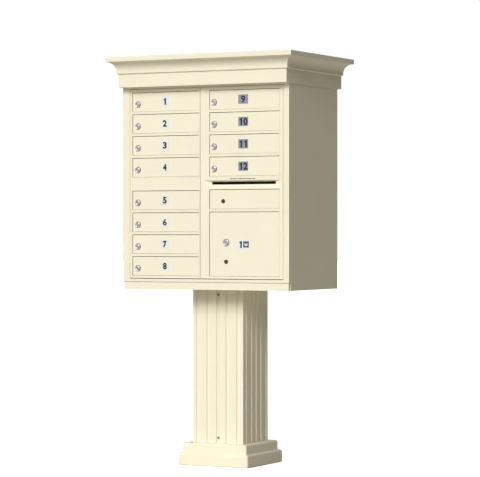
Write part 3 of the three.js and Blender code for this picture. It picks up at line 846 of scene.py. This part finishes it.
# ---- Labels and print ----
DIGIT_HEIGHT = 28 * MM
PLATE_DIGIT_HEIGHT = 29.5 * MM
LABEL_DROP = 40.3 * MM        # from the top of an opening to the middle of its number
DOOR_TOP_GAP = 2.3 * MM
BARREL_PROUD = 2.3 * MM       # of a door's hinge barrel, in front of the door's face
MASTER_BARREL_PROUD = 2.4 * MM
LABEL_X_LEFT = -191.5 * MM
LABEL_X_RIGHT = 175 * MM
FIRST_LABEL_SIZE = (38 * MM, 50 * MM)
LEFT_LABEL_SIZE = (36 * MM, 42 * MM)
RIGHT_LABEL_SIZE = (45 * MM, 38 * MM)
PARCEL_LABEL_SIZE = (58 * MM, 38 * MM)
PARCEL_LABEL_X = 176 * MM
PARCEL_LABEL_Z = 920 * MM
SLOT_PRINT_LEFT = 116 * MM
SLOT_PRINT_BOTTOM = 1186.4 * MM
SLOT_PRINT_HEIGHT = 3 * MM
FILM = 0.3 * MM
PRINT = 0.22 * MM
PRINT_SINK = 0.02 * MM        # of the digits into their label


def one_outline(centre, height):
    """A bold upright 1 with its flag."""
    shape = [(-0.04, -0.5), (0.22, -0.5), (0.22, 0.5), (0.04, 0.5), (-0.06, 0.40), (-0.22, 0.31),
             (-0.22, 0.14), (-0.04, 0.22)]
    return [(centre.x + x * height, centre.z + z * height) for x, z in shape]


def font_digit(character, centre, height, front, depth):
    curve = bpy.data.curves.new("digit", "FONT")
    curve.body = character
    curve.extrude = 0.5
    curve.offset = 0.034 if character in "69" else 0.044    # their bowls close sooner
    curve.resolution_u = 6
    holder = link(bpy.data.objects.new("digit", curve))
    evaluated = holder.evaluated_get(bpy.context.evaluated_depsgraph_get())
    mesh = bpy.data.meshes.new_from_object(evaluated)
    bpy.data.objects.remove(holder)
    bpy.data.curves.remove(curve)
    xs = [v.co.x for v in mesh.vertices]
    ys = [v.co.y for v in mesh.vertices]
    middle_x, middle_y = (min(xs) + max(xs)) / 2, (min(ys) + max(ys)) / 2
    tall, wide = max(ys) - min(ys), max(xs) - min(xs)
    for vertex in mesh.vertices:
        x, y, z = vertex.co
        vertex.co = (centre.x + (x - middle_x) / wide * 0.66 * height, front - depth * (z + 0.5),
                     centre.z + (y - middle_y) / tall * height)
    shape = bmesh.new()
    shape.from_mesh(mesh)
    bmesh.ops.remove_doubles(shape, verts=shape.verts, dist=1e-6)
    bmesh.ops.recalc_face_normals(shape, faces=shape.faces)
    shape.to_mesh(mesh)
    shape.free()
    mesh.materials.clear()
    return mesh


def number_mesh(text, centre, height, front):
    """Upright digits facing the front, as thin solids side by side."""
    pitch = 0.74 * height
    start = centre.x - pitch * (len(text) - 1) / 2
    meshes = []
    for place_in_row, character in enumerate(text):
        middle = Vector((start + place_in_row * pitch, 0, centre.z))
        if character == "1":
            meshes.append(plate(one_outline(middle, height), front - PRINT, front))
        else:
            meshes.append(font_digit(character, middle, height, front, PRINT))
    return joined(meshes)


def label_plate(name, centre, size, door_front, film, body):
    half_x, half_z = size[0] / 2, size[1] / 2
    outline = rectangle(centre.x - half_x, centre.z - half_z, centre.x + half_x, centre.z + half_z, 2 * MM)
    mesh = plate(outline, door_front - FILM, door_front + 0.2 * MM, 0.08 * MM)
    add_piece(name, mesh, film, body)


def build_labels():
    """A number on each tenant door, on a pale label in the left column and a grey one in the right."""
    for number in TENANTS:
        left = number in LEFT_TENANTS
        low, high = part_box(f"tenant_door_{number}")
        door_front = low.y + BARREL_PROUD
        x = LABEL_X_LEFT if left else LABEL_X_RIGHT
        centre = Vector((x, 0, high.z + DOOR_TOP_GAP - LABEL_DROP))
        body = f"tenant_{number}"
        if number == 1:
            size, film = FIRST_LABEL_SIZE, pale_film
        elif left:
            size, film = LEFT_LABEL_SIZE, pale_film
        else:
            size, film = RIGHT_LABEL_SIZE, grey_film
        label_plate(f"number_plate_{number}", centre, size, door_front, film, body)
        height = DIGIT_HEIGHT if left else PLATE_DIGIT_HEIGHT
        digits = number_mesh(str(number), centre, height, door_front - FILM + PRINT_SINK)
        add_piece(f"number_{number}", digits, ink, body)


def build_parcel_label():
    """The parcel compartment's 1, beside a plain pictogram of a taped box."""
    low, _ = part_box("parcel_door")
    door_front = low.y + BARREL_PROUD
    centre = Vector((PARCEL_LABEL_X, 0, PARCEL_LABEL_Z))
    label_plate("parcel_number_plate", centre, PARCEL_LABEL_SIZE, door_front, pale_film, "parcel")
    front = door_front - FILM + PRINT_SINK
    digit = number_mesh("1", centre - Vector((13 * MM, 0, 0)), DIGIT_HEIGHT, front)
    half, line = 12.5 * MM, 5.6 * MM
    box_x = centre.x + 12 * MM
    bars = [
        (box_x - half, centre.z - half, box_x + half, centre.z - half + line),
        (box_x - half, centre.z + half - line, box_x + half, centre.z + half),
        (box_x - half, centre.z - half, box_x - half + line, centre.z + half),
        (box_x + half - line, centre.z - half, box_x + half, centre.z + half),
        (box_x - line / 2, centre.z + 1 * MM, box_x + line / 2, centre.z + half - line),
    ]
    pictogram = [plate(rectangle(*bar), front - PRINT, front) for bar in bars]
    add_piece("parcel_number", joined([digit, *pictogram]), ink, "parcel")


def build_slot_print():
    """A line of small print over the mail slot, drawn as plain dashes."""
    low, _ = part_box("right_master_door")
    front = low.y + MASTER_BARREL_PROUD
    top = SLOT_PRINT_BOTTOM + SLOT_PRINT_HEIGHT
    dashes = []
    x = SLOT_PRINT_LEFT
    for length in (9, 14, 6, 17, 11, 8, 15, 12):
        end = x + length * MM
        dash = rectangle(x, SLOT_PRINT_BOTTOM, end, top, 0.6 * MM)
        dashes.append(plate(dash, front - PRINT, front))
        x = end + 3 * MM
    add_piece("slot_print", joined(dashes), ink, "right_master")


# ---- Hinges ----
DOOR_BARREL_RADIUS = 3.8 * MM
MASTER_BARREL_RADIUS = 2.4 * MM


def sleeve(x, y, bottom, top, inner, outer):
    """A thin rolled knuckle round a hinge barrel, with eased ends."""
    ease = 0.15 * MM
    profile = [(inner, bottom), (outer - ease, bottom), (outer, bottom + ease), (outer, top - ease),
               (outer - ease, top), (inner, top)]
    return lathe(profile, along_z(x, y, 0), closed=True, sides=32)


def pin_head(x, y, z, radius, up):
    profile = [(r, up * along) for r, along in [(radius, -0.4 * MM)] + dome_profile(radius, 0.9 * MM)]
    return lathe(profile, along_z(x, y, z), sides=24)


def knuckles(name, node, x, y, barrel, knuckle_count, own_body, frame_body):
    """Knuckles take turns along a barrel, between the leaf that swings and the one that carries it."""
    low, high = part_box(node)
    gap = 0.6 * MM
    length = (high.z - low.z - gap) / knuckle_count
    own, carried = [], []
    for k in range(knuckle_count):
        bottom = low.z + gap + k * length
        knuckle = sleeve(x, y, bottom, bottom + length - gap, barrel - 0.1 * MM, barrel + 0.22 * MM)
        (own if k % 2 else carried).append(knuckle)
    own += [pin_head(x, y, high.z, barrel * 0.62, 1), pin_head(x, y, low.z, barrel * 0.62, -1)]
    add_piece(f"{name}_knuckles", joined(own), paint, own_body, smooth=40)
    add_piece(f"{name}_hinge_leaf", joined(carried), paint, frame_body, smooth=40)


def build_hinges():
    doors = [(f"tenant_door_{n}", f"tenant_{n}", f"tenant_hinge_{n}", 5) for n in TENANTS]
    doors.append(("parcel_door", "parcel", "parcel_hinge", 11))
    doors.append(("outgoing_mail_door", "outgoing", "outgoing_hinge", 5))
    for node, body, hinge, count in doors:
        axis = joint_at(hinge)
        carrier = "left_master" if axis.x < 0 else "right_master"
        knuckles(node, node, axis.x, axis.y, DOOR_BARREL_RADIUS, count, body, carrier)
    for side in ("left", "right"):
        axis = joint_at(f"{side}_master_hinge")
        knuckles(f"{side}_master", f"{side}_master_door", axis.x, axis.y, MASTER_BARREL_RADIUS, 25,
                 f"{side}_master", "cabinet")


# ---- Door seals, and dark strips painted as shade in the door gaps ----
def build_door_seal():
    """A dark rubber seal on the frame, behind the gap all round the master doors, and a strip in the sill
    gap below them. Their black also darkens these gaps as painted shade, the strip in the sill gap most of
    all.
    """
    _, frame_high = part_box("front_frame")
    low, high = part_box("left_master_door")
    front, back = frame_high.y + 5.8 * MM, frame_high.y + 7.4 * MM
    outer, inner = frame_high.x - 27 * MM, frame_high.x - 38 * MM
    bottom, top, width = low.z - 7 * MM, high.z + 4 * MM, 10 * MM
    bars = [(-outer, bottom, outer, bottom + width), (-outer, top - width, outer, top),
            (-outer, bottom + width, -inner, top - width), (inner, bottom + width, outer, top - width)]
    strips = [plate(rectangle(*bar), front, back, 0.3 * MM) for bar in bars]
    # a dark strip down in the sill gap under the master doors: painted shadow for the dark line there
    sill = low.z - 0.3 * MM
    sill_shadow_strip = rectangle(-inner, sill - 2.3 * MM, inner, sill)
    strips.append(plate(sill_shadow_strip, low.y + 3 * MM, low.y + 11 * MM, 0.2 * MM))
    add_piece("door_seal_and_gap_shade", joined(strips), rubber, "cabinet")


def build_rail_seals():
    """A dark strip under each rail of the master doors, in the gap over a small door: painted shadow,
    darkening the gap as the rail's shade would.
    """
    strips = {"left_master": [], "right_master": []}
    doors = [f"tenant_door_{number}" for number in TENANTS] + ["outgoing_mail_door", "parcel_door"]
    for node in doors:
        low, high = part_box(node)
        front = low.y + BARREL_PROUD + 0.7 * MM
        top = high.z + DOOR_TOP_GAP + 0.3 * MM
        bar = rectangle(low.x, high.z + 0.2 * MM, high.x - 8.5 * MM, top)
        carrier = "left_master" if low.x < 0 else "right_master"
        strips[carrier].append(plate(bar, front, front + 3 * MM, 0.1 * MM))
    for carrier, meshes in strips.items():
        add_piece(f"{carrier}_rail_shadow_strips", joined(meshes), rubber, carrier)


# ---- Fasteners and welds ----
def screw_head(to_place, radius, height):
    """A domed head with a hexagonal socket."""
    sides = 36
    rings = []
    dome = [(radius, 0.4 * MM), (radius, -0.2 * height), (0.96 * radius, -0.45 * height),
            (0.86 * radius, -0.72 * height), (0.70 * radius, -0.9 * height), (0.55 * radius, -height)]
    for r, along in dome:
        rings.append([to_place(x, y, along) for x, y in circle(r, sides)])
    for along in (-height, -0.35 * height):
        ring = []
        for k in range(sides):
            angle = TURN * k / sides
            reach = 0.42 * radius * math.cos(TURN / 12) / math.cos(angle % (TURN / 6) - TURN / 12)
            ring.append(to_place(reach * math.cos(angle), reach * math.sin(angle), along))
        rings.append(ring)
    return ring_loft(rings)


def facing_back(x, y, z):
    """Puts a head's face towards the back."""
    return lambda across, up, along: (x - across, y - along, z + up)


def build_pillar_screws():
    """A screw near each end of the middle flute, front and back, holds the two half covers."""
    low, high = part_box("pillar_cover")
    groove = high.y - FLUTE_DEPTH + 0.3 * MM
    screws = []
    for z in (low.z + 22 * MM, high.z - 22 * MM):
        screws.append(screw_head(along_y(0, -groove, z), 5.2 * MM, 3.4 * MM))
        screws.append(screw_head(facing_back(0, groove, z), 5.2 * MM, 3.4 * MM))
    add_piece("pillar_screws", joined(screws), blackened, "cabinet", smooth=40)


def build_back_fasteners():
    """Rivets up both sides of the back panel, and screws through the crown's fascia at the back."""
    low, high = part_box("back_panel")
    rivets = []
    rows = 10
    for x in (low.x + 9 * MM, high.x - 9 * MM):
        for row in range(rows):
            z = low.z + 24 * MM + (high.z - low.z - 56 * MM) * row / (rows - 1)
            rivets.append(screw_head(facing_back(x, high.y, z), 3.6 * MM, 1.8 * MM))
    add_piece("back_panel_rivets", joined(rivets), aluminium, "cabinet", smooth=40)
    low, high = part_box("crown_cap")
    fascia = high.y - CROWN_PROJECTION
    screws = [screw_head(facing_back(x, fascia, low.z + 26 * MM), 4.5 * MM, 2.6 * MM)
              for x in (low.x * 0.7, low.x * 0.25, high.x * 0.25, high.x * 0.7)]
    add_piece("crown_screws", joined(screws), steel, "cabinet", smooth=40)


def upward(to_place, sign):
    return lambda across, up, along: to_place(across, up, sign * along)


def bolt_stack(x, y, face, sign, size):
    """A washer, a nut and the end of its bolt on a plate, upwards or downwards from its face."""
    to_place = upward(along_z(x, y, face), sign)
    ring = [(size * 0.5, 0.05 * MM), (size * 1.25, 0.05 * MM), (size * 1.25, 1.6 * MM),
            (size * 0.5, 1.8 * MM)]
    washer = lathe(ring, to_place, closed=True, sides=36)
    nut = hex_prism(to_place, size, 1.8 * MM, 1.8 * MM + size * 0.85, 0.8 * MM)
    shank = size * 0.52
    profile = [(shank, size * 0.8), (shank, size * 1.2)]
    for k in range(4):
        turn = size * 1.2 + k * 1.2 * MM
        profile += [(shank - 0.5 * MM, turn + 0.6 * MM), (shank, turn + 1.2 * MM)]
    profile.append((shank - 0.8 * MM, size * 1.2 + 5.6 * MM))
    return [washer, nut, lathe(profile, to_place, sides=30)]


ANCHOR_OFFSET = 100 * MM      # of the base plate's holes from the middle
HEAD_BOLT_OFFSET = 75 * MM    # of the top plate's holes
BASE_PLATE = 12.7 * MM
HEAD_PLATE = 9.5 * MM
PAN_ABOVE_HEAD = 3.3 * MM     # from the top plate to the inside of the base pan
ANCHOR_SIZE = 13 * MM
HEAD_BOLT_SIZE = 9 * MM
POST_HALF = 50.8 * MM


def build_pedestal_hardware():
    """Anchor bolts through the base plate, bolts up through the base pan, and welds round the post."""
    low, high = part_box("pedestal")
    anchors, bolts = [], []
    for x_side in (-1, 1):
        for y_side in (-1, 1):
            anchors += bolt_stack(x_side * ANCHOR_OFFSET, y_side * ANCHOR_OFFSET,
                                  low.z + BASE_PLATE, 1, ANCHOR_SIZE)
            x, y = x_side * HEAD_BOLT_OFFSET, y_side * HEAD_BOLT_OFFSET
            bolts += bolt_stack(x, y, high.z - HEAD_PLATE, -1, HEAD_BOLT_SIZE)
            bolts += bolt_stack(x, y, high.z + PAN_ABOVE_HEAD, 1, HEAD_BOLT_SIZE)
    add_piece("anchor_bolts", joined(anchors), steel, "cabinet")
    add_piece("pedestal_bolts", joined(bolts), steel, "cabinet")
    post, bead = POST_HALF, 6 * MM
    welds = []
    for face, sign in ((low.z + BASE_PLATE, 1), (high.z - HEAD_PLATE, -1)):
        profile = [(post - 1 * MM, face - sign * 0.5 * MM), (post + bead, face - sign * 0.5 * MM),
                   (post + bead, face + sign * 0.6 * MM), (post + 0.55 * bead, face + sign * 0.55 * bead),
                   (post + 0.2 * MM, face + sign * bead), (post - 1 * MM, face + sign * bead)]
        rings = [square_ring(size, size, 2 * MM, z) for size, z in profile]
        welds.append(ring_loft(rings, closed=True))
    add_piece("post_welds", joined(welds), steel, "cabinet")


LATCH_GRIP_BOTTOM = 1122.5 * MM
LATCH_GRIP_PITCH = 3.4 * MM


def build_latch_grip():
    """Ridges on the latch bar's thumb tab, where it shows past the stile."""
    low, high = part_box("master_latch_bar")
    ridges = []
    for k in range(4):
        z = LATCH_GRIP_BOTTOM + k * LATCH_GRIP_PITCH
        ridge = rectangle(high.x - 8 * MM, z, high.x - 1 * MM, z + 1.6 * MM, 0.5 * MM)
        ridges.append(plate(ridge, low.y - 0.8 * MM, low.y + 0.4 * MM, 0.2 * MM))
    add_piece("latch_tab_grip", joined(ridges), steel, "latch_bar")


set_stage()
dress_nodes()
build_crown()
build_pillar()
build_plinth()
build_locks()
build_labels()
build_parcel_label()
build_slot_print()
build_hinges()
build_door_seal()
build_rail_seals()
build_pillar_screws()
build_back_fasteners()
build_pedestal_hardware()
build_latch_grip()
